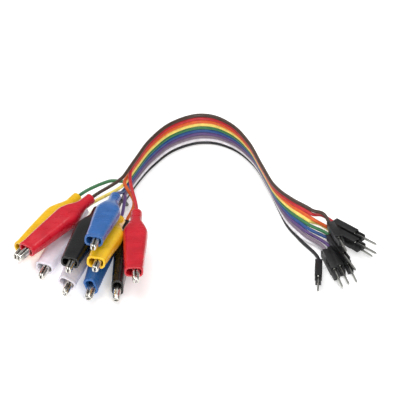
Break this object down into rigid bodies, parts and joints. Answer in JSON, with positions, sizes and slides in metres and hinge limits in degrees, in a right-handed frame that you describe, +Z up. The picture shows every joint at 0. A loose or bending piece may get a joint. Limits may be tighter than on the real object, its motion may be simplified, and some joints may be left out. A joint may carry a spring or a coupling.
{
  "type": "alligator clip lead",
  "caption": "Insulated alligator clips in soft coloured boots on a rainbow ribbon of wires, each wire ending in a square-pin connector housing.",
  "frame": {"origin": "on the surface that the leads lie on, below the middle of the box round the clips, housings and pins", "axes": "+Z up; +X from the clips to the pin connectors; +Y towards the top of the ribbon's arch"},
  "size_m": [0.1254, 0.0906, 0.0221],
  "materials": {
    "boot_red": "soft glossy red vinyl, moulded",
    "boot_yellow": "soft glossy yellow vinyl, moulded",
    "boot_blue": "soft glossy blue vinyl, moulded",
    "boot_white": "soft glossy white vinyl, moulded",
    "boot_black": "soft glossy black vinyl, moulded",
    "jaw_steel": "bright nickel-plated stamped steel",
    "housing_black": "satin black moulded nylon",
    "pin_metal": "bright tin-plated square pin",
    "wire_brown": "satin brown vinyl wire insulation",
    "wire_red": "satin red vinyl wire insulation",
    "wire_orange": "satin orange vinyl wire insulation",
    "wire_yellow": "satin pale yellow vinyl wire insulation",
    "wire_green": "satin green vinyl wire insulation",
    "wire_blue": "satin blue vinyl wire insulation",
    "wire_purple": "satin violet vinyl wire insulation",
    "wire_grey": "satin grey vinyl wire insulation",
    "wire_white": "satin white vinyl wire insulation",
    "wire_black": "satin black vinyl wire insulation"
  },
  "bodies": {
    "root": {"boot_brown": "boot_red", "fixed_jaw_brown": "jaw_steel", "wire_brown": "wire_brown", "housing_brown": "housing_black", "contact_pin_brown": "pin_metal", "boot_red": "boot_red", "fixed_jaw_red": "jaw_steel", "wire_red": "wire_red", "housing_red": "housing_black", "contact_pin_red": "pin_metal", "boot_orange": "boot_black", "fixed_jaw_orange": "jaw_steel", "wire_orange": "wire_orange", "housing_orange": "housing_black", "contact_pin_orange": "pin_metal", "boot_yellow": "boot_white", "fixed_jaw_yellow": "jaw_steel", "wire_yellow": "wire_yellow", "housing_yellow": "housing_black", "contact_pin_yellow": "pin_metal", "boot_green": "boot_yellow", "fixed_jaw_green": "jaw_steel", "wire_green": "wire_green", "housing_green": "housing_black", "contact_pin_green": "pin_metal", "boot_blue": "boot_blue", "fixed_jaw_blue": "jaw_steel", "wire_blue": "wire_blue", "housing_blue": "housing_black", "contact_pin_blue": "pin_metal", "boot_purple": "boot_yellow", "fixed_jaw_purple": "jaw_steel", "wire_purple": "wire_purple", "housing_purple": "housing_black", "contact_pin_purple": "pin_metal", "boot_grey": "boot_blue", "fixed_jaw_grey": "jaw_steel", "wire_grey": "wire_grey", "housing_grey": "housing_black", "contact_pin_grey": "pin_metal", "boot_white": "boot_white", "fixed_jaw_white": "jaw_steel", "wire_white": "wire_white", "housing_white": "housing_black", "contact_pin_white": "pin_metal", "boot_black": "boot_black", "fixed_jaw_black": "jaw_steel", "wire_black": "wire_black", "housing_black": "housing_black", "contact_pin_black": "pin_metal"},
    "jaw_brown": {"moving_jaw_brown": "jaw_steel"},
    "jaw_red": {"moving_jaw_red": "jaw_steel"},
    "jaw_orange": {"moving_jaw_orange": "jaw_steel"},
    "jaw_yellow": {"moving_jaw_yellow": "jaw_steel"},
    "jaw_green": {"moving_jaw_green": "jaw_steel"},
    "jaw_blue": {"moving_jaw_blue": "jaw_steel"},
    "jaw_purple": {"moving_jaw_purple": "jaw_steel"},
    "jaw_grey": {"moving_jaw_grey": "jaw_steel"},
    "jaw_white": {"moving_jaw_white": "jaw_steel"},
    "jaw_black": {"moving_jaw_black": "jaw_steel"}
  },
  "joints": [
    {"name": "jaw_hinge_brown", "type": "hinge", "parent": "root", "child": "jaw_brown", "pos_m": [-0.0507, 0.0014, 0.0092], "axis": [0.0415, 0.0471, -0.998], "range_deg": [0, 20], "stiffness_Nm_per_rad": 0.06, "springref_deg": -17.19, "deforming": ["boot_brown"]},
    {"name": "jaw_hinge_red", "type": "hinge", "parent": "root", "child": "jaw_red", "pos_m": [-0.0209, -0.0118, 0.0115], "axis": [-0.0011, -0.0453, -0.999], "range_deg": [0, 20], "stiffness_Nm_per_rad": 0.06, "springref_deg": -17.19, "deforming": ["boot_red"]},
    {"name": "jaw_hinge_orange", "type": "hinge", "parent": "root", "child": "jaw_orange", "pos_m": [-0.0258, -0.0106, 0.0041], "axis": [-0.9962, 0.0872, 0], "range_deg": [0, 20], "stiffness_Nm_per_rad": 0.06, "springref_deg": -17.19, "deforming": ["boot_orange"]},
    {"name": "jaw_hinge_yellow", "type": "hinge", "parent": "root", "child": "jaw_yellow", "pos_m": [-0.0475, 0.0003, 0.00285], "axis": [0, 0, -1], "range_deg": [0, 20], "stiffness_Nm_per_rad": 0.06, "springref_deg": -17.19, "deforming": ["boot_yellow"]},
    {"name": "jaw_hinge_green", "type": "hinge", "parent": "root", "child": "jaw_green", "pos_m": [-0.0535, 0.0095, 0.00285], "axis": [0, 0, -1], "range_deg": [0, 20], "stiffness_Nm_per_rad": 0.06, "springref_deg": -17.19, "deforming": ["boot_green"]},
    {"name": "jaw_hinge_blue", "type": "hinge", "parent": "root", "child": "jaw_blue", "pos_m": [-0.0324, -0.0055, 0.0179], "axis": [-0.0461, -0.2027, -0.9781], "range_deg": [0, 20], "stiffness_Nm_per_rad": 0.06, "springref_deg": -17.19, "deforming": ["boot_blue"]},
    {"name": "jaw_hinge_purple", "type": "hinge", "parent": "root", "child": "jaw_purple", "pos_m": [-0.0314, -0.0125, 0.0138], "axis": [-0.0552, -0.2181, -0.9744], "range_deg": [0, 20], "stiffness_Nm_per_rad": 0.06, "springref_deg": -17.19, "deforming": ["boot_purple"]},
    {"name": "jaw_hinge_grey", "type": "hinge", "parent": "root", "child": "jaw_grey", "pos_m": [-0.0335, -0.011, 0.0044], "axis": [-0.9174, 0.2034, -0.342], "range_deg": [0, 20], "stiffness_Nm_per_rad": 0.06, "springref_deg": -17.19, "deforming": ["boot_grey"]},
    {"name": "jaw_hinge_white", "type": "hinge", "parent": "root", "child": "jaw_white", "pos_m": [-0.0409, -0.0085, 0.0037], "axis": [-0.4192, 0.1282, -0.8988], "range_deg": [0, 20], "stiffness_Nm_per_rad": 0.06, "springref_deg": -17.19, "deforming": ["boot_white"]},
    {"name": "jaw_hinge_black", "type": "hinge", "parent": "root", "child": "jaw_black", "pos_m": [-0.0399, -0.0073, 0.0109], "axis": [-0.0299, -0.1002, -0.9945], "range_deg": [0, 20], "stiffness_Nm_per_rad": 0.06, "springref_deg": -17.19, "deforming": ["boot_black"]}
  ]
}
